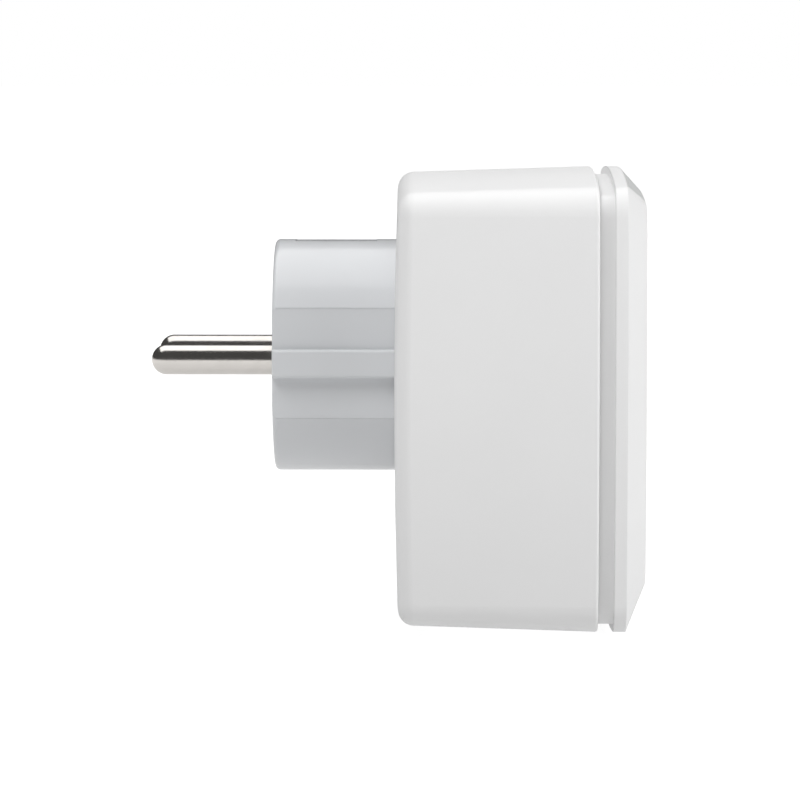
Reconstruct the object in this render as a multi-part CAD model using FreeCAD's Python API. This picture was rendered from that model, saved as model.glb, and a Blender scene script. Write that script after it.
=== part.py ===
import FreeCAD
import Part
import math
import os

Vec = FreeCAD.Vector

# ---- overall sizes, mm (origin: middle of the plug's end face; -X along the pins, +X to the front, +Z up)
half_width = 36.0
case_top = 30.0
case_bottom = -42.0
bow_radius = 263.0
corner_r = 5.0
wall = 2.2

# ---- plug
plug_len = 19.0
plug_r = 18.5
plug_flat_y = 16.3
plug_flat_z = 8.65
rib_y = 18.2
rib_half = 2.2
rib_round = 0.5
pin_r = 2.4
pin_len = 19.3
pin_y = 9.5
pin_seat_r = pin_r + 0.35
strip_half = 2.1
strip_drop = 0.8
flange_r = plug_r + 6.0
flange_t = 1.5
flange_screw_yz = (plug_r + 4.1) * math.sqrt(0.5)

# ---- depth stations along X
back_x = plug_len
back_wall_x = back_x + 2.5
rim_x = back_x + 31.6
groove_w = 2.4
groove_depth = 1.25
panel_x = rim_x + groove_w
strip_w = 1.9
bevel_w = 3.1
front_x = panel_x + strip_w + bevel_w
front_wall = 2.2
cave_x = front_x - front_wall
draft = 1.0
back_crown_r = 1000.0
back_fillet = 2.4
rim_round = 0.4

# ---- front flat's insets from the widest outline
side_inset = 5.0
top_inset = 3.4
bottom_inset = 7.1

# ---- socket
recess_r = plug_r + 1.3
recess_depth = 17.5
cup_wall = 1.6
cup_r = recess_r + cup_wall
cup_fit = 0.15
floor_x = front_x - recess_depth
floor_t = 2.0
entry_r = pin_r + 0.35
ledge_gap = 0.4
contact_r = pin_r + 0.05
contact_wall = 0.7

# ---- gaps
slip = 0.05
loose = 0.15
moving_gap = 0.3

# ---- shutter
shutter_travel = 6.4
shutter_half = 13.6
shutter_t = 1.7
shutter_low = -9.6
shutter_high = 5.0

# ---- boards
board_t = 1.6
board_x = back_wall_x + 5.0
parts_x = board_x + board_t
board_top = -6.5
board_low = case_bottom + 4.6
board_half = half_width - 5.6
top_board_z = cup_r + 1.2
top_board_t = 1.0

# ---- case screws
screw_y = half_width - 8.0
screw_top_z = case_top - 8.5
screw_low_z = case_bottom + 8.5
boss_r = 3.6
front_boss_r = 3.1
split_x = back_x + 19.0

# ---- push bar on the top bevel
bar_gap = 0.25
bar_travel = 0.5
bar_thick = 1.2
bar_half_back = 28.6
bar_half_front = 22.0


def box(x0, x1, y0, y1, z0, z1):
    return Part.makeBox(x1 - x0, y1 - y0, z1 - z0, Vec(x0, y0, z0))


def rod(r, x0, x1, y=0.0, z=0.0):
    return Part.makeCylinder(r, x1 - x0, Vec(x0, y, z), Vec(1, 0, 0))


def tube(r_out, r_in, x0, x1, y=0.0, z=0.0):
    return rod(r_out, x0, x1, y, z).cut(rod(r_in, x0 - 1, x1 + 1, y, z))


def rod_z(r, z0, z1, x, y):
    return Part.makeCylinder(r, z1 - z0, Vec(x, y, z0), Vec(0, 0, 1))


def fuse_all(shapes):
    total = shapes[0]
    for s in shapes[1:]:
        total = total.fuse(s)
    return total.removeSplitter()


def cut_all(shape, cutters):
    for c in cutters:
        shape = shape.cut(c)
    return shape


def save(shape, node):
    if not shape.isValid():
        print("INVALID", node)
    print(node, len(shape.Solids), round(shape.Volume, 1))
    shape.exportStep("parts/" + node + ".step")


def corner_centre(side, level, ctr_side, ctr_level, inner):
    # meeting point of two circles of radius "inner", on the side away from both centres
    dy = ctr_level[0] - ctr_side[0]
    dz = ctr_level[1] - ctr_side[1]
    gap = math.hypot(dy, dz)
    my = (ctr_level[0] + ctr_side[0]) / 2
    mz = (ctr_level[1] + ctr_side[1]) / 2
    h = math.sqrt(inner * inner - gap * gap / 4)
    a = (my - dz / gap * h, mz + dy / gap * h)
    b = (my + dz / gap * h, mz - dy / gap * h)
    return a if a[0] * side + a[1] * level > b[0] * side + b[1] * level else b


def outline(x, inset, low_inset=None, high_inset=None, r=None):
    # a bowed square with rounded corners in the plane X = x, inset from the widest one
    low = inset if low_inset is None else low_inset
    high = inset if high_inset is None else high_inset
    rc = corner_r - inset if r is None else r
    w = half_width - inset
    zt = case_top - high
    zb = case_bottom + low
    zm = (zt + zb) / 2
    bow = bow_radius - inset
    ctr = {"r": (w - bow, zm), "l": (bow - w, zm), "t": (0.0, zt - bow), "b": (0.0, zb + bow)}
    corners = []
    for side, level, s, v in ((1, 1, "r", "t"), (-1, 1, "l", "t"), (-1, -1, "l", "b"), (1, -1, "r", "b")):
        cy, cz = corner_centre(side, level, ctr[s], ctr[v], bow - rc)
        ends = []
        for k in (s, v):
            d = math.hypot(cy - ctr[k][0], cz - ctr[k][1])
            ends.append((ctr[k][0] + (cy - ctr[k][0]) / d * bow, ctr[k][1] + (cz - ctr[k][1]) / d * bow))
        mid = (cy + side * rc * math.sqrt(0.5), cz + level * rc * math.sqrt(0.5))
        corners.append((ends[0], mid, ends[1]))
    (tr, tl, bl, br) = corners

    def arc(p, q, s):
        return Part.Arc(Vec(x, p[0], p[1]), Vec(x, q[0], q[1]), Vec(x, s[0], s[1])).toShape()

    edges = [
        arc(tr[0], tr[1], tr[2]),
        arc(tr[2], (0.0, zt), tl[2]),
        arc(tl[2], tl[1], tl[0]),
        arc(tl[0], (-w, zm), bl[0]),
        arc(bl[0], bl[1], bl[2]),
        arc(bl[2], (0.0, zb), br[2]),
        arc(br[2], br[1], br[0]),
        arc(br[0], (w, zm), tr[0]),
    ]
    return Part.Wire(edges)


def between(wires):
    return Part.makeLoft(wires, True, True)


def prism(x0, x1, inset, low=None, high=None, r=None):
    return between([outline(x0, inset, low, high, r), outline(x1, inset, low, high, r)])


def ribbon(points, t, half, y=0.0):
    # a strip of thickness t that follows points in the XZ plane, on their left side
    n = len(points)
    left = []
    for i in range(n):
        dirs = []
        if i > 0:
            dirs.append((points[i][0] - points[i - 1][0], points[i][1] - points[i - 1][1]))
        if i < n - 1:
            dirs.append((points[i + 1][0] - points[i][0], points[i + 1][1] - points[i][1]))
        normals = [(-dz / math.hypot(dx, dz), dx / math.hypot(dx, dz)) for dx, dz in dirs]
        nx = sum(v[0] for v in normals) / len(normals)
        nz = sum(v[1] for v in normals) / len(normals)
        k = t / (nx * nx + nz * nz)
        left.append((points[i][0] + nx * k, points[i][1] + nz * k))
    loop = list(points) + left[::-1]
    loop.append(loop[0])
    face = Part.Face(Part.makePolygon([Vec(p[0], y - half, p[1]) for p in loop]))
    return face.extrude(Vec(0, 2 * half, 0))


def case_corners():
    return [(sy * screw_y, z) for sy in (-1, 1) for z in (screw_top_z, screw_low_z)]


def plug_section(x0, x1, grow, rim=0.0):
    body = rod(plug_r + grow, x0, x1)
    if rim:
        body = body.makeFillet(rim, [e for e in body.Edges if e.BoundBox.XMax < x0 + 0.01])
    big = plug_r + grow + 5
    for s in (-1, 1):
        y0, y1 = sorted((s * (plug_flat_y + grow), s * big))
        chord = box(x0 - 1, x1 + 1, y0, y1, -plug_flat_z - grow, plug_flat_z + grow)
        y2, y3 = sorted((s * 10.0, s * (rib_y + grow)))
        keep = box(x0 - 1, x1 + 1, y2, y3, -rib_half - grow, rib_half + grow)
        outer = [e for e in keep.Edges if e.BoundBox.XLength > 1 and abs(e.CenterOfMass.y) > rib_y - 0.1]
        keep = keep.makeFillet(rib_round + grow, outer)
        body = body.cut(chord.cut(keep))
    return body


def board_posts():
    return [(-27.0, -12.0), (27.0, -12.0), (-1.0, -35.0)]


def flange_screws():
    return [(sy * flange_screw_yz, sz * flange_screw_yz) for sy in (-1, 1) for sz in (-1, 1)]


def rear_housing():
    shell = between([outline(back_x, draft), outline(rim_x, 0.0)])
    dome = Part.makeSphere(back_crown_r, Vec(back_x + back_crown_r, 0, (case_top + case_bottom) / 2))
    shell = shell.common(dome)
    rear = [e for e in shell.Edges if e.BoundBox.XMax < back_x + 2.0]
    shell = shell.makeFillet(back_fillet, rear)
    rim = [e for e in shell.Edges if e.BoundBox.XMin > rim_x - 0.1]
    shell = shell.makeFillet(rim_round, rim)
    hollow = between([outline(back_wall_x, draft + wall), outline(rim_x + 0.01, wall)])
    shell = shell.cut(hollow)
    adds = []
    for y, z in case_corners():
        adds.append(rod(boss_r, back_wall_x - 0.5, split_x, y, z))
    for y, z in board_posts():
        adds.append(rod(2.6, back_wall_x - 0.5, board_x, y, z))
    shell = fuse_all([shell] + adds)
    cuts = [plug_section(back_x - 3, back_wall_x + 1, slip)]
    for y, z in case_corners():
        cuts.append(rod(2.7, back_x - 3, back_x + 5, y, z))
        cuts.append(rod(1.6, back_x - 3, split_x + 1, y, z))
    for y, z in board_posts():
        cuts.append(rod(1.05, board_x - 4, board_x + 1, y, z))
    for y, z in flange_screws():
        cuts.append(rod(0.95, back_wall_x - 1.6, back_wall_x + 1, y, z))
    return cut_all(shell, cuts)


def plug_body():
    body = plug_section(0.0, back_wall_x, 0.0, 0.8)
    body = body.fuse(tube(flange_r, plug_r - 3.0, back_wall_x, back_wall_x + flange_t)).removeSplitter()
    inner = rod(plug_r - 2.5, 3.5, back_wall_x + 5)
    for s in (-1, 1):
        y0, y1 = sorted((s * (plug_flat_y - 2.1), s * 30.0))
        inner = inner.cut(box(0, back_wall_x + 9, y0, y1, -30, 30))
    cuts = [inner]
    for s in (-1, 1):
        cuts.append(rod(pin_seat_r + slip, -1, 4, s * pin_y))
        side = strip_half + 0.3
        z0, z1 = sorted((s * (plug_r - strip_drop - 0.7), s * (plug_r + 1)))
        cuts.append(box(3.3, plug_len - 2.8, -side, side, z0, z1))
        z0, z1 = sorted((s * (plug_r - 5), s * (plug_r + 1)))
        cuts.append(box(3.3, 4.5, -side, side, z0, z1))
    for y, z in flange_screws():
        cuts.append(rod(1.1, back_wall_x - 1, back_wall_x + 5, y, z))
    return cut_all(body, cuts)


def plug_screws():
    group = []
    x = back_wall_x + flange_t
    for y, z in flange_screws():
        head = rod(1.7, x, x + 1.2, y, z)
        shank = rod(0.9, back_wall_x - 1.4, x, y, z)
        group.append(fuse_all([head, shank]).cut(box(x + 0.8, x + 3, y - 2, y + 2, z - 0.25, z + 0.25)))
    return Part.makeCompound(group)


def pin(y):
    tip = Part.makeSphere(pin_r, Vec(-pin_len + pin_r, y, 0))
    shaft = rod(pin_r, -pin_len + pin_r, 0.0, y)
    seat = rod(pin_seat_r, 0.0, 3.5, y)
    collar = rod(3.8, 3.5, 4.7, y)
    stub = rod(1.5, 4.7, 5.5, y)
    rivet = rod(2.2, 5.5, 6.1, y)
    return fuse_all([tip, shaft, seat, collar, stub, rivet])


def busbar(y):
    plate = box(4.7, 5.5, y - 3.0, y + 3.0, -9.0, 3.4)
    leg = box(4.7, parts_x + 1.0, y - 2.1, y + 2.1, -9.0, -8.2)
    return fuse_all([plate, leg]).cut(rod(1.5 + slip, 3, 7, y))


def plug_earth_bracket():
    high = plug_r - strip_drop
    bridge = box(3.6, 4.2, -strip_half, strip_half, -high, high)
    top = box(3.6, plug_len - 3.1, -strip_half, strip_half, high - 0.6, high)
    low = box(3.6, plug_len - 3.1, -strip_half, strip_half, -high, 0.6 - high)
    return fuse_all([bridge, top, low])


earth_x = parts_x + 0.5


def earth_link():
    return box(4.2, earth_x, -2.5, 2.5, -0.4, 0.4)


def socket_earth_bracket():
    z = cup_r + 0.3
    back = box(earth_x, earth_x + 0.6, -2.5, 2.5, -z - 0.6, z + 0.6)
    x = earth_x
    path = [(x, z), (cave_x - 11.8, z), (cave_x - 8.2, plug_r - 1.6), (cave_x - 5.2, plug_r - 1.1),
            (cave_x - 2.8, recess_r + 0.4)]
    arm = ribbon(path, 0.6, 2.5)
    low = arm.mirror(Vec(0, 0, 0), Vec(0, 0, 1))
    return fuse_all([back, arm, low])


def panel_solid():
    wide = outline(panel_x, 0.0)
    ridge = outline(panel_x + strip_w, 0.0)
    flat = outline(front_x, side_inset, bottom_inset, top_inset, corner_r)
    return between([wide, ridge]).fuse(between([ridge, flat])).removeSplitter()


# push bar frame: n points out of the bevel, t runs down it
bevel_n = Vec(math.sqrt(0.5), 0, math.sqrt(0.5))
bevel_t = Vec(math.sqrt(0.5), 0, -math.sqrt(0.5))
ridge_s = (panel_x + strip_w - case_top) * math.sqrt(0.5)
front_s = (front_x - case_top + top_inset) * math.sqrt(0.5)
ridge_n = (panel_x + strip_w + case_top) * math.sqrt(0.5)


def band(grow, top, depth):
    # the bar's outline swept along n, from "top" above the bevel to "depth" below it
    def at(y, s):
        bowed = s + y * y / (2 * bow_radius) * math.sqrt(0.5)
        return bevel_t * bowed + bevel_n * (ridge_n + top) + Vec(0, y, 0)

    s0 = ridge_s + 0.35 - grow
    s1 = front_s + 0.1 + grow
    run = bar_half_back - bar_half_front
    fall = at(bar_half_front, s1).dot(bevel_t) - at(bar_half_back, s0).dot(bevel_t) - 2 * grow
    side = math.hypot(run, fall)
    yb = bar_half_back + grow * (side + run) / fall
    yf = bar_half_front + grow * (side - run) / fall
    e1 = Part.Arc(at(-yb, s0), at(0, s0), at(yb, s0)).toShape()
    e2 = Part.makeLine(at(yb, s0), at(yf, s1))
    e3 = Part.Arc(at(yf, s1), at(0, s1), at(-yf, s1)).toShape()
    e4 = Part.makeLine(at(-yf, s1), at(-yb, s0))
    return Part.Face(Part.Wire([e1, e2, e3, e4])).extrude(bevel_n * -(top + depth))


cave_side = wall + 1.2
cave_low = wall + 2.0
cave_high = wall + 0.6
cave_top = case_top - cave_high
corner_s = (cave_x - cave_top) * math.sqrt(0.5)
corner_n = (cave_x + cave_top) * math.sqrt(0.5)


def skew(s0, s1, n0, n1, y0, y1):
    # a block laid along t and n
    pts = [bevel_t * s + bevel_n * n + Vec(0, y0, 0) for s, n in ((s0, n0), (s1, n0), (s1, n1), (s0, n1))]
    pts.append(pts[0])
    return Part.Face(Part.makePolygon(pts)).extrude(Vec(0, y1 - y0, 0))


hook_ys = (-15.0, 15.0)
hook_half = 1.5
leg_half = 0.7
stem_half = 2.2


def button_bar():
    shell = panel_solid()
    low = panel_solid()
    low.translate(bevel_n * -bar_thick)
    bar = shell.common(band(0.0, 3.0, 4.0)).cut(low)
    adds = []
    s0 = corner_s - leg_half
    s1 = corner_s + leg_half
    for y in hook_ys:
        adds.append(skew(s0, s1, corner_n - 3.2, corner_n + 0.4, y - hook_half, y + hook_half))
        adds.append(skew(s0, corner_s + 1.8, corner_n - 3.2, corner_n - 2.3, y - hook_half, y + hook_half))
    post = skew(s0, s1, corner_n - 1.2, corner_n + 0.4, -stem_half, stem_half)
    stem = box(switch_face + plunger_out + 0.15, cave_x - 0.35, -stem_half, stem_half, stem_low, stem_low + 1.5)
    return fuse_all([bar] + adds + [post, stem])


def front_cover():
    panel = panel_solid()
    skirt = prism(rim_x, panel_x, groove_depth)
    tongue = prism(rim_x - 2.6, rim_x, wall + loose + 0.1)
    cover = fuse_all([panel, skirt, tongue])
    cover = cover.cut(prism(rim_x - 4, cave_x, cave_side, cave_low, cave_high, 2.6))
    bosses = [rod(front_boss_r, split_x + 0.1, cave_x + 0.3, y, z) for y, z in case_corners()]
    room = between([outline(split_x, wall + 0.6), outline(cave_x + 0.4, wall + 0.6)])
    bosses = [b.common(room) for b in bosses]
    cover = fuse_all([cover] + bosses)
    cuts = [rod(cup_r + cup_fit, cave_x - 1, front_x + 1)]
    for y, z in case_corners():
        cuts.append(rod(1.45, split_x - 1, split_x + 8, y, z))
    for y, z in cup_screw_spots():
        cuts.append(rod(0.95, cave_x - 1, cave_x + 1.5, y, z))
    slot_floor = panel_solid()
    slot_floor.translate(bevel_n * -(bar_thick + bar_travel + 0.3))
    cuts.append(band(bar_gap, 3.0, 4.5).cut(slot_floor))
    s0 = corner_s - leg_half - bar_gap
    s1 = corner_s + leg_half + bar_gap
    side = hook_half + bar_gap
    for y in hook_ys:
        cuts.append(skew(s0, s1, corner_n - 3.0, corner_n + 1.0, y - side, y + side))
    side = stem_half + bar_gap
    cuts.append(skew(s0, s1, corner_n - 3.0, corner_n + 1.0, -side, side))
    return cut_all(cover, cuts)


def cup_screw_spots():
    r = cup_r + 1.65
    return [(sy * r * math.sqrt(0.5), sz * r * math.sqrt(0.5)) for sy in (-1, 1) for sz in (-1, 1)]


def carrier_screw_spots():
    return [(-12.4, 14.2), (12.4, 14.2)]


def button_screw_spots():
    return [(cave_x - 9.8, -11.0), (cave_x - 9.8, 11.0)]


def socket_cup():
    body = rod(cup_r, floor_x - floor_t, front_x - 0.1)
    flange = rod(cup_r + 3.2, cave_x - 1.6, cave_x - 0.05)
    flange = flange.cut(box(cave_x - 4, front_x, -30, 30, cup_r + 1.6, 40))
    cup = fuse_all([body, flange])
    recess = rod(recess_r, floor_x, front_x + 1)
    for s in (-1, 1):
        y0, y1 = sorted((s * (plug_flat_y + ledge_gap), s * 30.0))
        ledge = box(floor_x - 1, front_x - 1.0, y0, y1, -plug_flat_z + ledge_gap, plug_flat_z - ledge_gap)
        y0, y1 = sorted((s * 10.0, s * (rib_y + ledge_gap)))
        slot = box(floor_x - 2, front_x, y0, y1, -rib_half - ledge_gap, rib_half + ledge_gap)
        recess = recess.cut(ledge.cut(slot))
    cup = cup.cut(recess)
    posts = []
    for x, y in button_screw_spots():
        posts.append(box(x - 2.6, x + 2.6, y - 1.7, y + 1.7, cup_r - 3.8, top_board_z)
                     .cut(rod(cup_r - 0.4, floor_x - 9, front_x + 2)))
    cup = fuse_all([cup] + posts)
    cuts = []
    for s in (-1, 1):
        cuts.append(rod(entry_r, floor_x - 9, front_x + 2, s * pin_y))
        z0, z1 = sorted((s * 14.0, s * (cup_r + 0.5)))
        cuts.append(box(floor_x + 2.5, cave_x - 1.9, -3.1, 3.1, z0, z1))
    for y, z in cup_screw_spots():
        hole = rod(1.1, cave_x - 2, cave_x, y, z).common(rod(cup_r + 3.2, cave_x - 2, cave_x))
        cuts.append(hole.cut(rod(cup_r, cave_x - 3, cave_x + 1)))
    for y, z in carrier_screw_spots():
        cuts.append(rod(0.95, floor_x - floor_t - 1, floor_x - 0.4, y, z))
    for x, y in button_screw_spots():
        cuts.append(rod_z(0.8, cup_r - 1.8, cup_r + 19, x, y))
    return cut_all(cup, cuts)


carrier_x = floor_x - floor_t
pocket_x = carrier_x - shutter_t - 0.6
carrier_back = pocket_x - 5.6


def contact_carrier():
    block = box(carrier_back, carrier_x, -15.8, 15.8, -11.6, 17.4)
    side = shutter_half + moving_gap
    pocket = box(pocket_x, carrier_x + 1, -side, side, shutter_low - moving_gap,
                 shutter_high + shutter_travel + 0.3)
    spring_bay = box(pocket_x, carrier_x + 1, -1.6, 1.6, 0, 16.4)
    cuts = [pocket, spring_bay]
    for s in (-1, 1):
        cuts.append(rod(contact_r + contact_wall + 0.35, carrier_back - 1, pocket_x + 1, s * pin_y))
    for y, z in carrier_screw_spots():
        cuts.append(rod(1.1, carrier_back - 1, carrier_x + 1, y, z))
    return cut_all(block, cuts)


def contact(y):
    sleeve = tube(contact_r + contact_wall, contact_r, carrier_back, pocket_x - 0.3, y)
    slots = []
    for turn in (0, 90):
        slit = box(carrier_back + 1.4, pocket_x + 1, y - 5, y + 5, -0.35, 0.35)
        slit.rotate(Vec(0, y, 0), Vec(1, 0, 0), turn)
        slots.append(slit)
    sleeve = cut_all(sleeve, slots)
    plate = box(carrier_back - 0.8, carrier_back, y - 3.9, y + 3.9, -14.4, 3.8)
    plate = plate.cut(rod(contact_r + 0.1, 0, front_x, y))
    tab = box(board_x - 0.8, carrier_back - 0.8, y - 2.0, y + 2.0, -14.4, -13.6)
    return fuse_all([sleeve, plate, tab])


def shutter():
    x1 = carrier_x - 0.3
    x0 = x1 - shutter_t
    plate = box(x0, x1, -shutter_half, shutter_half, shutter_low, shutter_high)
    cuts = []
    for s in (-1, 1):
        y = s * pin_y
        cuts.append(rod(entry_r + 0.25, x0 - 1, x1 + 1, y, -shutter_travel))
        ramp = Part.Face(Part.makePolygon([
            Vec(x1 + 0.01, y - 2.0, 3.4), Vec(x1 + 0.01, y - 2.0, -shutter_travel),
            Vec(x0 + 0.4, y - 2.0, -shutter_travel), Vec(x1 + 0.01, y - 2.0, 3.4)]))
        cuts.append(ramp.extrude(Vec(0, 4.0, 0)))
    return cut_all(plate, cuts)


spring_x = (pocket_x + carrier_x) / 2


def shutter_spring():
    low = shutter_high + 0.05
    high = 16.4
    wire_r = 0.16
    turns = 9
    length = high - low - 2 * wire_r
    path = Part.makeHelix(length / turns, length, 0.8)
    section = Part.Wire([Part.makeCircle(wire_r, Vec(0.8, 0, 0), Vec(0, 1, 0))])
    coil = Part.Wire(path).makePipeShell([section], True, True)
    coil.translate(Vec(spring_x, 0, low + wire_r))
    return coil


# ---- button board and what it carries
switch_face = cave_x - 7.4
switch_len = 3.4
switch_high = cave_top - moving_gap - top_board_z - top_board_t
plunger_out = 1.6
plunger_z = top_board_z + top_board_t + 1.9
stem_low = plunger_z - 0.4


def button_board():
    board = box(cave_x - 14.8, cave_x - 2.2, -21.6, 21.6, top_board_z, top_board_z + top_board_t)
    for x, y in button_screw_spots():
        board = board.cut(rod_z(0.9, 0, top_board_z + 9, x, y))
    return board


def button_switch():
    z0 = top_board_z + top_board_t
    body = box(switch_face - switch_len, switch_face, -3.0, 3.0, z0, z0 + switch_high)
    return body.cut(box(switch_face - 1.4, switch_face + 1, -1.65, 1.65, plunger_z - 0.85, plunger_z + 0.85))


def button_plunger():
    return box(switch_face - 0.9, switch_face + plunger_out, -1.45, 1.45, plunger_z - 0.65, plunger_z + 0.65)


def status_led():
    z0 = top_board_z + top_board_t
    x = cave_x - 5.2
    base = box(x - 1.2, x, 5.0, 8.0, z0, z0 + 1.4)
    lens = rod(0.6, x, x + 0.5, 6.5, z0 + 0.75)
    return fuse_all([base, lens])


def light_guide():
    z0 = top_board_z + top_board_t
    block = box(cave_x - 4.5, cave_x - 1.8, 4.8, 8.2, z0, z0 + 2.4)
    return block.cut(skew(-40, 40, corner_n - 1.6, corner_n + 5, 0, 12))


def button_board_screws():
    group = []
    for x, y in button_screw_spots():
        z0 = top_board_z + top_board_t
        group.append(fuse_all([rod_z(0.75, cup_r - 1.6, z0, x, y), rod_z(1.5, z0, z0 + 1.1, x, y)])
                     .cut(box(x - 2, x + 2, y - 0.2, y + 0.2, z0 + 0.7, z0 + 3)))
    return Part.makeCompound(group)


def cup_screws():
    group = []
    for y, z in cup_screw_spots():
        head = rod(1.45, cave_x - 2.7, cave_x - 1.6, y, z)
        shank = rod(0.85, cave_x - 1.6, cave_x + 1.3, y, z)
        group.append(fuse_all([head, shank]).cut(box(cave_x - 4, cave_x - 2.3, y - 2, y + 2, z - 0.2, z + 0.2)))
    return Part.makeCompound(group)


def carrier_screws():
    group = []
    for y, z in carrier_screw_spots():
        head = rod(1.8, carrier_back - 1.2, carrier_back, y, z)
        shank = rod(0.85, carrier_back, floor_x - 0.6, y, z)
        drive = box(carrier_back - 3, carrier_back - 0.8, y - 2, y + 2, z - 0.25, z + 0.25)
        group.append(fuse_all([head, shank]).cut(drive))
    return Part.makeCompound(group)


def main_board_screws():
    group = []
    for y, z in board_posts():
        head = rod(1.9, parts_x, parts_x + 1.4, y, z)
        shank = rod(0.95, board_x - 3.5, parts_x, y, z)
        drive = box(parts_x + 0.9, parts_x + 3, y - 3, y + 3, z - 0.25, z + 0.25)
        group.append(fuse_all([head, shank]).cut(drive))
    return Part.makeCompound(group)


def housing_screws():
    group = []
    for y, z in case_corners():
        head = rod(2.5, back_x + 3.2, back_x + 5, y, z)
        shank = rod(1.4, back_x + 5, split_x + 7.5, y, z)
        head = head.makeFillet(0.4, [e for e in head.Edges if e.BoundBox.XMax < back_x + 3.3])
        bolt = fuse_all([head, shank])
        for half_y, half_z in ((1.5, 0.35), (0.35, 1.5)):
            bolt = bolt.cut(box(back_x, back_x + 4.2, y - half_y, y + half_y, z - half_z, z + half_z))
        group.append(bolt)
    return Part.makeCompound(group)


# ---- main board and its parts
relay_y0 = -24.0
relay_z0 = -37.0
relay_leads = [(relay_y0 + 2, relay_z0 + 2), (relay_y0 + 17, relay_z0 + 2), (relay_y0 + 2, relay_z0 + 12.6),
               (relay_y0 + 17, relay_z0 + 12.6)]
small_leads = {
    "film_capacitor": [(-28.0, -18.5), (-18.0, -18.5)],
    "varistor": [(-13.0, -18.0), (-8.6, -18.0)],
    "fuse": [(-24.0, -11.7), (-16.8, -11.7)],
    "input_capacitor": [(18.6, -33.6), (21.8, -33.6)],
    "output_capacitor": [(18.9, -25.2), (20.7, -25.2)],
    "transformer": [(5.0, -35.4), (5.0, -25.6), (13.4, -35.4), (13.4, -25.6)],
    "shunt": [(16.9, -10.0), (24.1, -10.0)],
}


def lead_pins(spots, x1):
    return [rod(0.35, board_x - 0.7, x1, y, z) for y, z in spots]


def main_board():
    board = box(board_x, parts_x, -board_half, board_half, board_low, board_top)
    cuts = []
    for y, z in case_corners():
        cuts.append(rod(boss_r + 0.5, board_x - 1, parts_x + 1, y, z))
    for y, z in board_posts():
        cuts.append(rod(1.1, board_x - 1, parts_x + 1, y, z))
    for s in (-1, 1):
        y = s * pin_y
        cuts.append(box(board_x - 1, parts_x + 1, y - 2.2, y + 2.2, -9.1, -8.1))
        cuts.append(box(board_x - 1, parts_x + 1, y - 2.1, y + 2.1, -14.5, -13.5))
        cuts.append(rod(2.3, board_x - 1, parts_x + 1, s * flange_screw_yz, -flange_screw_yz))
    spots = list(relay_leads)
    for name in small_leads:
        spots = spots + small_leads[name]
    for y, z in spots:
        cuts.append(rod(0.45, board_x - 1, parts_x + 1, y, z))
    low_room = between([outline(board_x - 1, draft + wall + 0.3), outline(parts_x + 1, draft + wall + 0.3)])
    return cut_all(board.common(low_room), cuts)


def relay_base():
    plate = box(parts_x, parts_x + 1.6, relay_y0, relay_y0 + 19, relay_z0, relay_z0 + 15)
    return fuse_all([plate] + lead_pins(relay_leads, parts_x + 0.5))


def relay_case():
    x0 = parts_x + 1.6
    x1 = parts_x + 15.2
    shell = box(x0, x1, relay_y0, relay_y0 + 19, relay_z0, relay_z0 + 15)
    edges = [e for e in shell.Edges if e.BoundBox.XMin > x0 + 0.1]
    shell = shell.makeFillet(0.6, edges)
    return shell.cut(box(x0 - 1, x1 - 0.8, relay_y0 + 0.8, relay_y0 + 18.2, relay_z0 + 0.8, relay_z0 + 14.2))


coil_y = relay_y0 + 12.0
coil_z = relay_z0 + 7.5
coil_x0 = parts_x + 1.6
coil_x1 = coil_x0 + 9.0


def relay_bobbin():
    x0 = coil_x0 + 0.8
    hub = rod(2.4, x0, coil_x1, coil_y, coil_z)
    rear = rod(5.2, x0, x0 + 0.7, coil_y, coil_z)
    front = rod(5.2, coil_x1 - 0.9, coil_x1, coil_y, coil_z)
    return fuse_all([hub, rear, front]).cut(rod(1.6, coil_x0, coil_x1 + 1, coil_y, coil_z))


def relay_winding():
    return tube(4.7, 2.4, coil_x0 + 1.5, coil_x1 - 0.9, coil_y, coil_z)


def relay_yoke():
    core = rod(1.6, coil_x0, coil_x1 + 0.4, coil_y, coil_z)
    face = rod(2.6, coil_x1, coil_x1 + 0.4, coil_y, coil_z)
    foot = box(coil_x0, coil_x0 + 0.8, relay_y0 + 5.2, coil_y + 3, coil_z - 4, coil_z + 4)
    side = box(coil_x0, coil_x1 + 0.4, relay_y0 + 5.2, relay_y0 + 6.2, coil_z - 4, coil_z + 4)
    return fuse_all([core, face, foot, side])


hinge_x = coil_x1 + 1.05
hinge_y = relay_y0 + 5.7


def relay_armature():
    plate = box(hinge_x - 0.35, hinge_x + 0.45, hinge_y, hinge_y + 9.5, coil_z - 4, coil_z + 4)
    edge = rod_z(0.35, coil_z - 4, coil_z + 4, hinge_x, hinge_y)
    arm = fuse_all([plate, edge])
    arm.rotate(Vec(hinge_x, hinge_y, 0), Vec(0, 0, 1), -5.0)
    return arm


def film_capacitor():
    body = box(parts_x, parts_x + 10.0, -29.4, -16.6, -21.2, -15.8)
    body = body.makeFillet(0.5, body.Edges)
    return fuse_all([body] + lead_pins(small_leads["film_capacitor"], parts_x + 1))


def varistor():
    disc = Part.makeCylinder(3.6, 2.6, Vec(parts_x + 4.6, -10.8, -19.3), Vec(0, 0, 1))
    disc = disc.makeFillet(0.6, disc.Edges)
    return fuse_all([disc] + lead_pins(small_leads["varistor"], parts_x + 3))


def fuse():
    x = parts_x + 2.0
    spots = small_leads["fuse"]
    z = spots[0][1]
    glass = Part.makeCylinder(1.4, 4.6, Vec(x, -22.7, z), Vec(0, 1, 0))
    caps = [Part.makeCylinder(1.6, 1.1, Vec(x, y, z), Vec(0, 1, 0)) for y in (-23.3, -18.7)]
    wires = [rod(0.35, board_x - 0.7, x, y, z) for y, z in spots]
    reach = Part.makeCylinder(0.35, spots[1][0] - spots[0][0], Vec(x, spots[0][0], z), Vec(0, 1, 0))
    return fuse_all([glass] + caps + wires + [reach])


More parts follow.
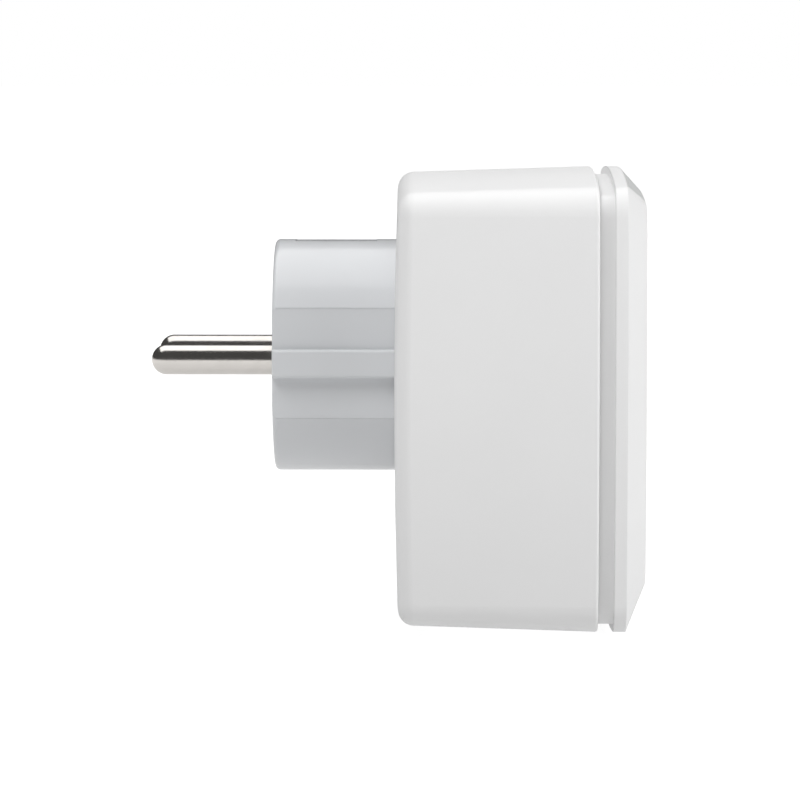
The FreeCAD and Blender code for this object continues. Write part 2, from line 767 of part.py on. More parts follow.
def electrolytic(y, z, r, high, spots):
    can = rod(r, parts_x + 0.4, parts_x + high, y, z)
    top = [e for e in can.Edges if e.BoundBox.XMin > parts_x + high - 0.1]
    can = can.makeFillet(0.4, top)
    groove = tube(r + 1, r - 0.35, parts_x + 1.6, parts_x + 2.3, y, z)
    foot = rod(r - 0.5, parts_x, parts_x + 0.5, y, z)
    vent = box(parts_x + high - 0.2, parts_x + high + 1, y - 0.15, y + 0.15, z - r * 0.6, z + r * 0.6)
    vent2 = box(parts_x + high - 0.2, parts_x + high + 1, y - r * 0.6, y + r * 0.6, z - 0.15, z + 0.15)
    return fuse_all([can.cut(groove), foot] + lead_pins(spots, parts_x + 0.5)).cut(vent).cut(vent2)


def transformer_core():
    x0 = parts_x + 1.4
    outer = box(x0 + 1.0, x0 + 11.0, 4.2, 14.2, -33.2, -27.8)
    for y0 in (5.6, 11.2):
        outer = outer.cut(box(x0 + 2.6, x0 + 9.4, y0, y0 + 1.6, -40, -20))
    return outer


def transformer_coil():
    x0 = parts_x + 1.4
    wind = box(x0 + 2.7, x0 + 9.3, 5.7, 12.7, -35.0, -26.0)
    wind = wind.makeFillet(0.9, [e for e in wind.Edges if abs(e.BoundBox.XLength) > 5])
    for y0, y1 in ((4.0, 5.6), (7.2, 11.2), (12.8, 15.0)):
        wind = wind.cut(box(x0 + 2.4, x0 + 9.6, y0, y1, -33.3, -27.7))
    return wind


def transformer_base():
    plate = box(parts_x, parts_x + 1.4, 3.9, 14.5, -36.4, -24.6)
    posts = [box(parts_x + 0.5, parts_x + 2.4, 4.2, 14.2, z, z + 1.2) for z in (-34.8, -27.4)]
    return fuse_all([plate] + posts + lead_pins(small_leads["transformer"], parts_x + 0.5))


def shunt_resistor():
    x = parts_x + 3.0
    bar = box(x, x + 0.8, 16.5, 24.5, -11.2, -8.8)
    feet = [box(parts_x, x + 0.8, y, y + 0.8, -11.2, -8.8) for y in (16.5, 23.7)]
    return fuse_all([bar] + feet + lead_pins(small_leads["shunt"], parts_x + 0.5))


def chip(y, z, half_y, half_z, high, count):
    body = box(parts_x + 0.15, parts_x + high, y - half_y, y + half_y, z - half_z, z + half_z)
    legs = []
    step = 2 * half_y / count
    for i in range(count):
        yy = y - half_y + (i + 0.5) * step
        legs.append(box(parts_x, parts_x + 0.2, yy - 0.2, yy + 0.2, z - half_z - 1.0, z + half_z + 1.0))
        for s in (-1, 1):
            z0, z1 = sorted((z + s * (half_z - 0.2), z + s * (half_z + 0.5)))
            legs.append(box(parts_x, parts_x + 0.8, yy - 0.2, yy + 0.2, z0, z1))
    dimple = rod(0.3, parts_x + high - 0.1, parts_x + high + 1, y - half_y + 0.7, z - half_z + 0.7)
    return fuse_all([body] + legs).cut(dimple)


def radio_board():
    return box(parts_x, parts_x + 18.0, 26.6, 27.4, -28.6, -16.4)


def radio_shield():
    can = box(parts_x + 2.0, parts_x + 12.0, 24.8, 26.6, -27.4, -17.6)
    return can.cut(box(parts_x + 2.3, parts_x + 11.7, 25.1, 27.0, -27.1, -17.9))


link_y = -18.6
low_link_z = -8.2
high_link_z = top_board_z + top_board_t + 0.9


def link_cable():
    # flat cable from the main board, past the contact carrier, up to the button board
    x = parts_x + 5.9
    pts = [(parts_x + 2.1, low_link_z - 0.15), (x - 1.0, low_link_z - 0.15), (x, low_link_z + 1.2),
           (x, top_board_z - 2.5), (x + 3.2, high_link_z - 0.15), (cave_x - 13.0, high_link_z - 0.15)]
    return ribbon(pts, 0.3, 2.4, link_y)


def lower_connector():
    block = box(parts_x, parts_x + 3.4, link_y - 3.0, link_y + 2.8, low_link_z - 1.2, low_link_z + 1.2)
    slot = box(parts_x + 2.0, parts_x + 5, link_y - 2.5, link_y + 2.5, low_link_z - 0.2, low_link_z + 0.2)
    return block.cut(slot)


def upper_connector():
    z0 = top_board_z + top_board_t
    block = box(cave_x - 14.4, cave_x - 11.2, link_y - 2.8, link_y + 2.8, z0, z0 + 1.8)
    slot = box(cave_x - 15, cave_x - 12.9, link_y - 2.5, link_y + 2.5, high_link_z - 0.2, high_link_z + 0.2)
    return block.cut(slot)


def build():
    os.makedirs("parts", exist_ok=True)
    save(rear_housing(), "rear_housing")
    save(plug_body(), "plug_body")
    save(pin(-pin_y), "line_pin")
    save(pin(pin_y), "neutral_pin")
    save(busbar(-pin_y), "line_busbar")
    save(busbar(pin_y), "neutral_busbar")
    save(plug_earth_bracket(), "plug_earth_bracket")
    save(earth_link(), "earth_link")
    save(socket_earth_bracket(), "socket_earth_bracket")
    save(front_cover(), "front_cover")
    save(button_bar(), "button_bar")
    save(socket_cup(), "socket_cup")
    save(contact_carrier(), "contact_carrier")
    save(contact(-pin_y), "line_contact")
    save(contact(pin_y), "neutral_contact")
    save(shutter(), "shutter")
    save(shutter_spring(), "shutter_spring")
    save(button_board(), "button_board")
    save(button_switch(), "button_switch")
    save(button_plunger(), "button_plunger")
    save(status_led(), "status_led")
    save(light_guide(), "light_guide")
    save(main_board(), "main_board")
    save(relay_base(), "relay_base")
    save(relay_case(), "relay_case")
    save(relay_bobbin(), "relay_bobbin")
    save(relay_winding(), "relay_winding")
    save(relay_yoke(), "relay_yoke")
    save(relay_armature(), "relay_armature")
    save(film_capacitor(), "film_capacitor")
    save(varistor(), "varistor")
    save(fuse(), "fuse")
    save(electrolytic(20.2, -33.6, 3.9, 15.0, small_leads["input_capacitor"]), "input_capacitor")
    save(electrolytic(19.8, -25.2, 2.5, 11.0, small_leads["output_capacitor"]), "output_capacitor")
    save(transformer_core(), "transformer_core")
    save(transformer_coil(), "transformer_coil")
    save(transformer_base(), "transformer_base")
    save(shunt_resistor(), "shunt_resistor")
    save(chip(20.0, -18.6, 2.5, 2.0, 1.7, 4), "metering_chip")
    save(radio_board(), "radio_board")
    save(radio_shield(), "radio_shield")
    save(link_cable(), "link_cable")
    save(lower_connector(), "lower_connector")
    save(upper_connector(), "upper_connector")
    save(plug_screws(), "plug_screws")
    save(housing_screws(), "housing_screws")
    save(cup_screws(), "cup_screws")
    save(carrier_screws(), "carrier_screws")
    save(main_board_screws(), "main_board_screws")
    save(button_board_screws(), "button_board_screws")


build()
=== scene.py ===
import math

import bpy
from mathutils import Euler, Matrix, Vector


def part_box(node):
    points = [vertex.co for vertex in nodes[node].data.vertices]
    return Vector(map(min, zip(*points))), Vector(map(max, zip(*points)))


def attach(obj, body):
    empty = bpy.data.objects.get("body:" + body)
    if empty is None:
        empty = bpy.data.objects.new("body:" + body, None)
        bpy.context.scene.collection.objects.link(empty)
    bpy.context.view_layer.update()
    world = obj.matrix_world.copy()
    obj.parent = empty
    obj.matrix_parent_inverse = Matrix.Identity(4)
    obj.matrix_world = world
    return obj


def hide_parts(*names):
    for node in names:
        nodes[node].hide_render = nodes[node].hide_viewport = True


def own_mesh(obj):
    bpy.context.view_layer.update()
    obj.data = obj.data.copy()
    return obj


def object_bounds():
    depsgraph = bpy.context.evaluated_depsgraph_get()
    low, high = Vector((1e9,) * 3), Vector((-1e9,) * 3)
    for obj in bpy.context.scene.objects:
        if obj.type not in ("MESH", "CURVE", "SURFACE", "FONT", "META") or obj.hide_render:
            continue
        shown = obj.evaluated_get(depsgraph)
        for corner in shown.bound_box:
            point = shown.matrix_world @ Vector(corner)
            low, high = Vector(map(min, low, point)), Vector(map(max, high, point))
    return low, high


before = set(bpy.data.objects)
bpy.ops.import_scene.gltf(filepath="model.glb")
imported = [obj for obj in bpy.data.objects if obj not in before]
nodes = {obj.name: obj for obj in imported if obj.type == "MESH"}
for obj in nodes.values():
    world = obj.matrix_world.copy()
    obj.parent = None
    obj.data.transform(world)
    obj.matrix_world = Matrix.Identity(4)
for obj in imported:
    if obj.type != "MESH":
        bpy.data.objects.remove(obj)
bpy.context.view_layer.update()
scene = bpy.context.scene
print("frame loaded:", len(nodes), "pieces")


# a shader socket that takes part in sums
class Wire:
    def __init__(self, maker, socket):
        self.maker = maker
        self.socket = socket

    def maths(self, kind, first, second):
        made = self.maker.add("ShaderNodeMath", {"operation": kind}, {0: first, 1: second})
        return Wire(self.maker, made.outputs[0])

    def __add__(self, other):
        return self.maths("ADD", self, other)

    def __radd__(self, other):
        return self.maths("ADD", other, self)

    def __sub__(self, other):
        return self.maths("SUBTRACT", self, other)

    def __rsub__(self, other):
        return self.maths("SUBTRACT", other, self)

    def __mul__(self, other):
        return self.maths("MULTIPLY", self, other)

    def __rmul__(self, other):
        return self.maths("MULTIPLY", other, self)


class Finish:
    def __init__(self, name, **constant):
        self.material = bpy.data.materials.new(name)
        self.material.use_nodes = True
        self.tree = self.material.node_tree
        self.shader = self.tree.nodes["Principled BSDF"]
        for label, value in constant.items():
            self.shader.inputs[label.replace("_", " ")].default_value = value
        self.place = Wire(self, self.add("ShaderNodeTexCoord").outputs["Object"])

    # any node: its type, its settings, then the values or links of its sockets
    def add(self, kind, settings=None, sockets=None):
        made = self.tree.nodes.new(kind)
        for label, value in (settings or {}).items():
            if label == "stops":
                self.setStops(made, value)
            else:
                setattr(made, label, value)
        for label, value in (sockets or {}).items():
            self.feed(made.inputs[label], value)
        return made

    def setStops(self, made, stops):
        ramp = made.color_ramp
        while len(ramp.elements) < len(stops):
            ramp.elements.new(0.5)
        for element, (position, level) in zip(ramp.elements, stops):
            element.position = position
            element.color = (level, level, level, 1)

    def feed(self, socket, value):
        if isinstance(value, Wire):
            self.tree.links.new(value.socket, socket)
        else:
            socket.default_value = value

    def shift(self, scale):
        made = self.add("ShaderNodeMapping", {}, {"Vector": self.place, "Scale": scale})
        return Wire(self, made.outputs[0])

    def noise(self, size, detail=3.0, rough=0.5, stretch=None):
        where = self.shift(stretch) if stretch else self.place
        made = self.add("ShaderNodeTexNoise", {},
                        {"Vector": where, "Scale": 1 / size, "Detail": detail, "Roughness": rough})
        return Wire(self, made.outputs["Fac"])

    def cells(self, size):
        made = self.add("ShaderNodeTexVoronoi", {}, {"Vector": self.place, "Scale": 1 / size})
        return Wire(self, made.outputs["Distance"])

    def ramp(self, value, stops):
        made = self.add("ShaderNodeValToRGB", {"stops": stops}, {"Fac": value})
        return Wire(self, made.outputs["Color"])

    def blend(self, factor, first, second):
        made = self.add("ShaderNodeMix", {"data_type": "RGBA"}, {"Factor": factor, 6: first, 7: second})
        return Wire(self, made.outputs[2])

    # the surface's direction, as if its edges were rounded to the given radius
    def rounded(self, radius, samples):
        return Wire(self, self.add("ShaderNodeBevel", {"samples": samples}, {"Radius": radius}).outputs[0])

    # 1 along edges within the given distance, 0 on the faces between
    def edges(self, radius):
        soft = self.rounded(radius, 6)
        plain = Wire(self, self.add("ShaderNodeNewGeometry").outputs["Normal"])
        dot = self.add("ShaderNodeVectorMath", {"operation": "DOT_PRODUCT"}, {0: soft, 1: plain})
        return self.ramp(1 - Wire(self, dot.outputs["Value"]), [(0.01, 0), (0.22, 1)])

    def axis(self, label):
        parts = self.add("ShaderNodeSeparateXYZ", {}, {"Vector": self.place})
        return Wire(self, parts.outputs[label])

    def colour(self, value):
        self.feed(self.shader.inputs["Base Color"], value)

    def roughness(self, value):
        self.feed(self.shader.inputs["Roughness"], value)

    # fine relief on a surface whose edges look rounded to the given radius
    def relief(self, height, distance, radius=0.0):
        made = self.add("ShaderNodeBump", {}, {"Strength": 1.0, "Distance": distance, "Height": height})
        if radius:
            self.feed(made.inputs["Normal"], self.rounded(radius, 8))
        self.feed(self.shader.inputs["Normal"], Wire(self, made.outputs[0]))


def shade(rgb, factor):
    return tuple(channel * factor for channel in rgb) + (1,)


mm = 0.001

# moulded plastics: tone, roughness, spark grain size and depth in mm, wear on edges
plastics = {
    "caseWhite": {"tone": (0.805, 0.805, 0.805), "rough": 0.50, "grain": 0.22, "depth": 0.006, "wear": 1.02},
    "plugGrey": {"tone": (0.685, 0.698, 0.715), "rough": 0.32, "grain": 0.25, "depth": 0.005, "wear": 1.03,
                 "coat": 0.5},
    "cupWhite": {"tone": (0.82, 0.82, 0.82), "rough": 0.36, "grain": 0.25, "depth": 0.005, "wear": 1.02},
    "carrierCream": {"tone": (0.72, 0.69, 0.60), "rough": 0.50, "grain": 0.3, "depth": 0.01, "wear": 1.05},
    "shutterWhite": {"tone": (0.80, 0.80, 0.78), "rough": 0.40, "grain": 0.3, "depth": 0.006, "wear": 1.03},
    "relayBlack": {"tone": (0.035, 0.035, 0.04), "rough": 0.45, "grain": 0.3, "depth": 0.01, "wear": 1.6},
    "relayBlue": {"tone": (0.03, 0.13, 0.36), "rough": 0.30, "grain": 0.4, "depth": 0.006, "wear": 1.3},
    "bobbinWhite": {"tone": (0.74, 0.74, 0.68), "rough": 0.45, "grain": 0.3, "depth": 0.01, "wear": 1.04},
    "chipBlack": {"tone": (0.025, 0.025, 0.028), "rough": 0.55, "grain": 0.12, "depth": 0.008, "wear": 1.8},
    "connectorCream": {"tone": (0.74, 0.69, 0.54), "rough": 0.42, "grain": 0.25, "depth": 0.006, "wear": 1.05},
    "plungerCream": {"tone": (0.66, 0.63, 0.55), "rough": 0.40, "grain": 0.2, "depth": 0.004, "wear": 1.05},
    "filmYellow": {"tone": (0.72, 0.50, 0.06), "rough": 0.32, "grain": 0.4, "depth": 0.008, "wear": 1.15},
    "varistorBlue": {"tone": (0.04, 0.14, 0.34), "rough": 0.28, "grain": 0.7, "depth": 0.03, "wear": 1.1},
    "canBlack": {"tone": (0.03, 0.03, 0.04), "rough": 0.26, "grain": 0.6, "depth": 0.008, "wear": 1.6},
    "flexWhite": {"tone": (0.70, 0.70, 0.67), "rough": 0.45, "grain": 0.3, "depth": 0.004, "wear": 1.02},
}


# what all of them share: patch size, worn edge width and edge rounding in mm, and how far each one goes
moulding = {"index": 1.46, "coatRough": 0.12, "cloud": 14, "dark": 0.985, "light": 1.012, "pit": 2.2,
            "edge": 0.5, "edgeTone": 0.7, "round": 0.3, "roughCloud": 0.05, "roughGrain": 0.04,
            "roughEdge": 0.06, "grainShare": 0.6}


def mouldedPlastic(name):
    values = plastics[name]
    tone = values["tone"]
    finish = Finish(name, IOR=moulding["index"], Coat_Weight=values.get("coat", 0.0),
                    Coat_Roughness=moulding["coatRough"])
    cloud = finish.noise(moulding["cloud"] * mm, 4.0)
    fine = finish.noise(values["grain"] * mm, 2.0, 0.6)
    pits = finish.cells(values["grain"] * moulding["pit"] * mm)
    worn = finish.edges(moulding["edge"] * mm)
    body = finish.blend(cloud, shade(tone, moulding["dark"]), shade(tone, moulding["light"]))
    finish.colour(finish.blend(worn * moulding["edgeTone"], body, shade(tone, values["wear"])))
    finish.roughness(values["rough"] - moulding["roughGrain"] + cloud * moulding["roughCloud"]
                     + fine * moulding["roughGrain"] - worn * moulding["roughEdge"])
    share = moulding["grainShare"]
    finish.relief(fine * share + pits * (1 - share), values["depth"] * mm, moulding["round"] * mm)
    return finish.material


# light grey plastic of the push bar: tone, roughness, patch, grain, worn edge, rounding and depth in mm
barPlastic = {"tone": (0.80, 0.812, 0.806), "rough": 0.30, "index": 1.49, "coat": 0.15, "cloud": 9,
              "grain": 0.3, "edge": 0.35, "edgeTone": 1.06, "round": 0.2, "depth": 0.003}


def smoothGreyPlastic():
    tone = barPlastic["tone"]
    finish = Finish("barGrey", IOR=barPlastic["index"], Coat_Weight=barPlastic["coat"])
    cloud = finish.noise(barPlastic["cloud"] * mm, 3.0)
    fine = finish.noise(barPlastic["grain"] * mm, 2.0)
    worn = finish.edges(barPlastic["edge"] * mm)
    body = finish.blend(cloud, shade(tone, 0.98), shade(tone, 1.02))
    finish.colour(finish.blend(worn * 0.6, body, shade(tone, barPlastic["edgeTone"])))
    finish.roughness(barPlastic["rough"] + cloud * 0.06 - worn * 0.05)
    finish.relief(fine, barPlastic["depth"] * mm, barPlastic["round"] * mm)
    return finish.material


# metals: tone, roughness, length and width of drawing lines in mm, axis they run along, stain, depth in mm
metals = {
    "pinNickel": {"tone": (0.755, 0.725, 0.69), "rough": 0.20, "line": (0.5, 0.14), "along": 0, "stain": 0.12,
                  "depth": 0.004},
    "contactBrass": {"tone": (0.72, 0.53, 0.24), "rough": 0.28, "line": (5.0, 0.15), "along": 2, "stain": 0.35},
    "earthStrip": {"tone": (0.66, 0.65, 0.62), "rough": 0.26, "line": (8.0, 0.12), "along": 2, "stain": 0.15},
    "springSteel": {"tone": (0.55, 0.55, 0.57), "rough": 0.24, "line": (2.0, 0.08), "along": 2, "stain": 0.1},
    "softIron": {"tone": (0.42, 0.42, 0.43), "rough": 0.36, "line": (3.0, 0.15), "along": 2, "stain": 0.25},
    "shuntAlloy": {"tone": (0.42, 0.34, 0.27), "rough": 0.34, "line": (3.0, 0.15), "along": 1, "stain": 0.3},
    "tinShield": {"tone": (0.66, 0.66, 0.63), "rough": 0.24, "line": (7.0, 0.2), "along": 0, "stain": 0.15},
    "screwZinc": {"tone": (0.52, 0.53, 0.55), "rough": 0.30, "line": (2.0, 0.12), "along": 0, "stain": 0.3},
}


# what all metals share: patch size, worn edge width, edge rounding and usual depth in mm, and tones
drawing = {"cloud": 3, "edge": 0.25, "edgeTone": 1.18, "stainTone": 0.62, "round": 0.12, "depth": 0.0015}


def drawnMetal(name):
    values = metals[name]
    tone = values["tone"]
    finish = Finish(name, Metallic=1.0)
    long, thin = values["line"]
    stretch = [1 / thin] * 3
    stretch[values["along"]] = 1 / long
    lines = finish.noise(1 * mm, 2.0, 0.6, stretch)
    cloud = finish.noise(drawing["cloud"] * mm, 5.0)
    worn = finish.edges(drawing["edge"] * mm)
    dull = finish.ramp(cloud, [(0.45, 0), (0.75, 1)]) * values["stain"]
    body = finish.blend(dull, shade(tone, 1.0), shade(tone, drawing["stainTone"]))
    finish.colour(finish.blend(worn * 0.5, body, shade(tone, drawing["edgeTone"])))
    finish.roughness(values["rough"] + dull * 0.5 + lines * 0.08 - 0.04)
    finish.relief(lines, values.get("depth", drawing["depth"]) * mm, drawing["round"] * mm)
    return finish.material


# board: colours of lacquer, tracks and cut edge, track pitch, patch, edge width and track height in mm
board = {"mask": (0.012, 0.115, 0.045), "track": (0.03, 0.20, 0.08), "edge": (0.42, 0.36, 0.17),
         "pitch": 1.9, "cloud": 6, "cut": 0.3, "height": 0.03}


# lacquered board: copper tracks show as a lighter, slightly raised net
def circuitBoard():
    finish = Finish("boardGreen", IOR=1.5, Coat_Weight=0.3)
    net = finish.add("ShaderNodeTexVoronoi", {"distance": "CHEBYCHEV"},
                     {"Vector": finish.place, "Scale": 1 / (board["pitch"] * mm), "Randomness": 0.75})
    track = finish.ramp(Wire(finish, net.outputs["Distance"]), [(0.40, 0), (0.46, 1)])
    cloud = finish.noise(board["cloud"] * mm, 3.0)
    rim = finish.edges(board["cut"] * mm)
    base = finish.blend(cloud, shade(board["mask"], 0.9), shade(board["mask"], 1.1))
    tracked = finish.blend(track, base, shade(board["track"], 1.0))
    finish.colour(finish.blend(rim, tracked, shade(board["edge"], 1.0)))
    finish.roughness(0.28 + cloud * 0.1 + rim * 0.3)
    finish.relief(track, board["height"] * mm)
    return finish.material


# enamelled wire: tone, wire, patch and depth in mm, tones of the painted shade between the turns and of the
# painted highlight on top of the turns
winding = {"tone": (0.52, 0.20, 0.07), "wire": 0.35, "cloud": 2, "depth": 0.15, "dark": 0.35, "light": 1.25}


def copperWinding(name, label):
    tone = winding["tone"]
    finish = Finish(name, Metallic=0.85)
    turn = finish.axis(label) * (2 * math.pi / (winding["wire"] * mm))
    sine = finish.add("ShaderNodeMath", {"operation": "SINE"}, {0: turn})
    wave = Wire(finish, sine.outputs[0]) * 0.5 + 0.5
    cloud = finish.noise(winding["cloud"] * mm, 3.0)
    # colour darker between the turns as painted shade and lighter on their tops as painted highlight, mixed
    # with random patches
    paintedTurnShadeAndCloud = wave * 0.7 + cloud * 0.3
    finish.colour(finish.blend(paintedTurnShadeAndCloud, shade(tone, winding["dark"]), shade(tone, winding["light"])))
    finish.roughness(0.28 + cloud * 0.15)
    finish.relief(wave, winding["depth"] * mm)
    return finish.material


# sintered core: tones of body, specks and worn edges, speck, patch, edge width and depth in mm
ferrite = {"dark": (0.035, 0.035, 0.038, 1), "speck": (0.07, 0.07, 0.075, 1), "worn": (0.14, 0.14, 0.15, 1),
           "grain": 0.35, "cloud": 4, "edge": 0.3, "depth": 0.02, "rough": 0.5}


def sinteredFerrite():
    finish = Finish("ferrite", IOR=1.7)
    specks = finish.cells(ferrite["grain"] * mm)
    cloud = finish.noise(ferrite["cloud"] * mm, 4.0)
    worn = finish.edges(ferrite["edge"] * mm)
    body = finish.blend(specks, ferrite["dark"], ferrite["speck"])
    finish.colour(finish.blend(worn * 0.6, body, ferrite["worn"]))
    finish.roughness(ferrite["rough"] + cloud * 0.2)
    finish.relief(specks + cloud * 0.5, ferrite["depth"] * mm)
    return finish.material


# clear parts: tone, tone of a smear, roughness, smear size and depth in mm
glass = {"tone": (0.94, 0.96, 0.95), "smearTone": 0.9, "rough": 0.05, "smear": 1.5, "depth": 0.004}


def clearPart(name):
    finish = Finish(name, IOR=1.5, Transmission_Weight=0.9)
    smear = finish.noise(glass["smear"] * mm, 4.0)
    finish.colour(finish.blend(smear, shade(glass["tone"], 1.0), shade(glass["tone"], glass["smearTone"])))
    finish.roughness(glass["rough"] + smear * 0.12)
    finish.relief(smear, glass["depth"] * mm)
    return finish.material


made = {name: mouldedPlastic(name) for name in plastics}
made.update({name: drawnMetal(name) for name in metals})
made["barGrey"] = smoothGreyPlastic()
made["boardGreen"] = circuitBoard()
made["windingX"] = copperWinding("windingX", "X")
made["ferrite"] = sinteredFerrite()
made["clearGuide"] = clearPart("clearGuide")
made["fuseGlass"] = clearPart("fuseGlass")
print("finishes made:", len(made))

# which finish each piece of the frame takes
wearing = {
    "caseWhite": ["rear_housing", "front_cover"],
    "plugGrey": ["plug_body"],
    "cupWhite": ["socket_cup"],
    "barGrey": ["button_bar"],
    "pinNickel": ["line_pin", "neutral_pin"],
    "contactBrass": ["line_busbar", "neutral_busbar", "line_contact", "neutral_contact"],
    "earthStrip": ["plug_earth_bracket", "earth_link", "socket_earth_bracket"],
    "carrierCream": ["contact_carrier"],
    "shutterWhite": ["shutter"],
    "springSteel": ["shutter_spring"],
    "boardGreen": ["main_board", "button_board", "radio_board"],
    "chipBlack": ["button_switch", "metering_chip"],
    "plungerCream": ["button_plunger"],
    "relayBlack": ["relay_base"],
    "relayBlue": ["relay_case"],
    "bobbinWhite": ["relay_bobbin", "transformer_base"],
    "windingX": ["relay_winding", "transformer_coil"],
    "softIron": ["relay_yoke", "relay_armature"],
    "filmYellow": ["film_capacitor"],
    "varistorBlue": ["varistor"],
    "fuseGlass": ["fuse"],
    "canBlack": ["input_capacitor", "output_capacitor"],
    "ferrite": ["transformer_core"],
    "shuntAlloy": ["shunt_resistor"],
    "tinShield": ["radio_shield"],
    "flexWhite": ["link_cable"],
    "connectorCream": ["lower_connector", "upper_connector"],
    "clearGuide": ["light_guide", "status_led"],
    "screwZinc": ["plug_screws", "housing_screws", "cup_screws", "carrier_screws", "main_board_screws",
                  "button_board_screws"],
}
for name, pieces in wearing.items():
    for piece in pieces:
        nodes[piece].data.materials.clear()
        nodes[piece].data.materials.append(made[name])
print("finishes given")

# coil spring over the shutter: turns, wire radius in mm, points in a turn,
# height of a closed end turn in wire radii, and steps round the wire
spring = {"turns": 9, "wire": 0.16, "points": 20, "closed": 2.15, "segments": 5}


# the coil is drawn again here because the solid in the frame can't shorten with the shutter
def makeSpring():
    low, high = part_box("shutter_spring")
    wire = spring["wire"] * mm
    middle = [(low[i] + high[i]) / 2 for i in (0, 1)]
    radius = (high[0] - low[0]) / 2 - wire
    bottom, top = low[2] + wire, high[2] - wire
    end = spring["closed"] * wire
    pitch = (top - bottom - 2 * end) / (spring["turns"] - 2)
    curve = bpy.data.curves.new("coilPath", "CURVE")
    curve.dimensions = "3D"
    curve.bevel_depth = wire
    curve.bevel_resolution = spring["segments"]
    curve.use_fill_caps = True
    line = curve.splines.new("POLY")
    count = spring["turns"] * spring["points"] + 1
    line.points.add(count - 1)
    for index in range(count):
        turn = index / spring["points"]
        inner = min(max(turn - 1, 0), spring["turns"] - 2)
        rise = min(turn, 1) * end + inner * pitch + max(turn - spring["turns"] + 1, 0) * end
        angle = 2 * math.pi * turn
        line.points[index].co = (middle[0] + radius * math.cos(angle), middle[1] + radius * math.sin(angle),
                                 bottom + rise, 1)
    path = bpy.data.objects.new("coilPath", curve)
    scene.collection.objects.link(path)
    mesh = bpy.data.meshes.new_from_object(path.evaluated_get(bpy.context.evaluated_depsgraph_get()))
    bpy.data.objects.remove(path)
    mesh.polygons.foreach_set("use_smooth", [True] * len(mesh.polygons))
    mesh.materials.clear()
    mesh.materials.append(made["springSteel"])
    coil = bpy.data.objects.new("coilSpring", mesh)
    scene.collection.objects.link(coil)
    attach(coil, "case")
    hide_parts("shutter_spring")
    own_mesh(coil)


makeSpring()

# camera: place in metres, pitch and turn in degrees, focal length and frame width in mm,
# and the nearest point it sees in metres
camera = {"place": (0.02772, -0.66417, 0.05698), "pitch": 5.531, "turn": 0.679, "focal": 187.06,
          "frame": 36, "nearest": 0.01}


def setCamera():
    data = bpy.data.cameras.new("camera")
    data.lens = camera["focal"]
    data.sensor_width = camera["frame"]
    data.clip_start = camera["nearest"]
    body = bpy.data.objects.new("camera", data)
    body.location = camera["place"]
    body.rotation_euler = Euler((math.radians(90 - camera["pitch"]), 0, math.radians(camera["turn"])))
    scene.collection.objects.link(body)
    scene.camera = body


setCamera()

# soft panels: place, aim point, size in metres, brightness, and whether they show in reflections
lights = {
    "topPanel": {"place": (0.02, 0.33, 0.90), "aim": (0.02, 0.33, 0.0), "size": (1.40, 1.14), "level": 1.42},
    "leftPanel": {"place": (-0.45, -0.55, 0.95), "aim": (0.02, 0.0, 0.0), "size": (0.7, 0.7), "level": 5.3,
                  "glossy": False},
    "rightPanel": {"place": (0.85, -0.60, 0.45), "aim": (0.02, 0.0, 0.0), "size": (0.7, 0.7), "level": 1.5},
    "frontPanel": {"place": (0.95, -0.30, 0.40), "aim": (0.02, 0.0, 0.0), "size": (0.5, 0.5), "level": 5.2},
}
# the room's brightness as the camera sees it and as it lights the meter
room = {"seen": 1.0, "ambient": 0.06}
# floor: size and gap in metres, tone, brightness near and far as seen and as it lights the meter, darker near
# the meter as painted shadow, and the distances in metres between which near turns to far, where the painted
# shadow fades out
floor = {"size": 8.0, "gap": 0.0002, "tone": (0.32, 0.32, 0.32), "seenPaintedShadow": 0.84, "far": 1.0,
         "glowPaintedShadow": 0.45, "glowFar": 0.65, "seenFrom": 0.12, "seenTo": 0.6, "glowFrom": 0.05, "glowTo": 0.25}


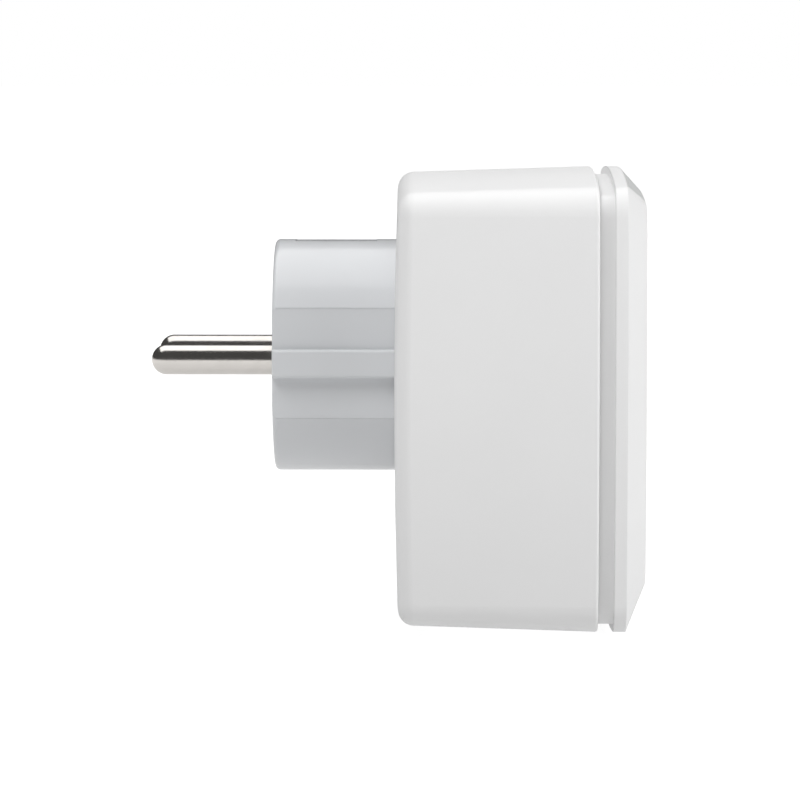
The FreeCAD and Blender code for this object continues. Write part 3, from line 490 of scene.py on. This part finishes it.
# an area light of brightness 1 gives pi watts for each square metre
def setLights():
    for name, values in lights.items():
        data = bpy.data.lights.new(name, "AREA")
        data.shape = "RECTANGLE"
        data.size, data.size_y = values["size"]
        data.energy = values["level"] * math.pi * data.size * data.size_y
        body = bpy.data.objects.new(name, data)
        body.location = values["place"]
        body.visible_glossy = values.get("glossy", True)
        aim = Vector(values["aim"]) - Vector(values["place"])
        body.rotation_euler = aim.to_track_quat("-Z", "Y").to_euler()
        scene.collection.objects.link(body)
    world = bpy.data.worlds.new("room")
    world.use_nodes = True
    tree = world.node_tree
    path = tree.nodes.new("ShaderNodeLightPath")
    level = tree.nodes.new("ShaderNodeMapRange")
    level.inputs["To Min"].default_value = room["ambient"]
    level.inputs["To Max"].default_value = room["seen"]
    tree.links.new(path.outputs["Is Camera Ray"], level.inputs["Value"])
    back = tree.nodes["Background"]
    back.inputs["Color"].default_value = (1, 1, 1, 1)
    tree.links.new(level.outputs["Result"], back.inputs["Strength"])
    scene.world = world


def setFloor():
    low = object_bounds()[0]
    half = floor["size"] / 2
    mesh = bpy.data.meshes.new("floor")
    z = low[2] - floor["gap"]
    corners = [(-half, -half, z), (half, -half, z), (half, half, z), (-half, half, z)]
    mesh.from_pydata(corners, [], [(0, 1, 2, 3)])
    body = bpy.data.objects.new("floor", mesh)
    finish = Finish("floorPaper", Emission_Strength=1.0)
    direct = Wire(finish, finish.add("ShaderNodeLightPath").outputs["Is Camera Ray"])
    grey = {label: (floor[label],) * 3 + (1,) for label in ("seenPaintedShadow", "far", "glowPaintedShadow", "glowFar")}
    length = finish.add("ShaderNodeVectorMath", {"operation": "LENGTH"}, {0: finish.place})
    reach = Wire(finish, length.outputs["Value"])
    # the floor glows and lights the meter from below; as the camera sees it and as its glow lights the meter,
    # it is darker near the meter as painted shadow
    paintedShadowFade = finish.ramp(reach, [(floor["seenFrom"], 0), (floor["seenTo"], 1)])
    glowShadowFade = finish.ramp(reach, [(floor["glowFrom"], 0), (floor["glowTo"], 1)])
    seen = finish.blend(paintedShadowFade, grey["seenPaintedShadow"], grey["far"])
    glow = finish.blend(glowShadowFade, grey["glowPaintedShadow"], grey["glowFar"])
    finish.feed(finish.shader.inputs["Emission Color"], finish.blend(direct, glow, seen))
    cloud = finish.noise(60 * mm, 3.0)
    finish.colour(finish.blend(cloud, shade(floor["tone"], 0.98), shade(floor["tone"], 1.02)))
    finish.roughness(0.7 + cloud * 0.1)
    body.data.materials.append(finish.material)
    scene.collection.objects.link(body)


setLights()
setFloor()
scene.view_settings.view_transform = "Standard"
print("camera, lights and floor set")
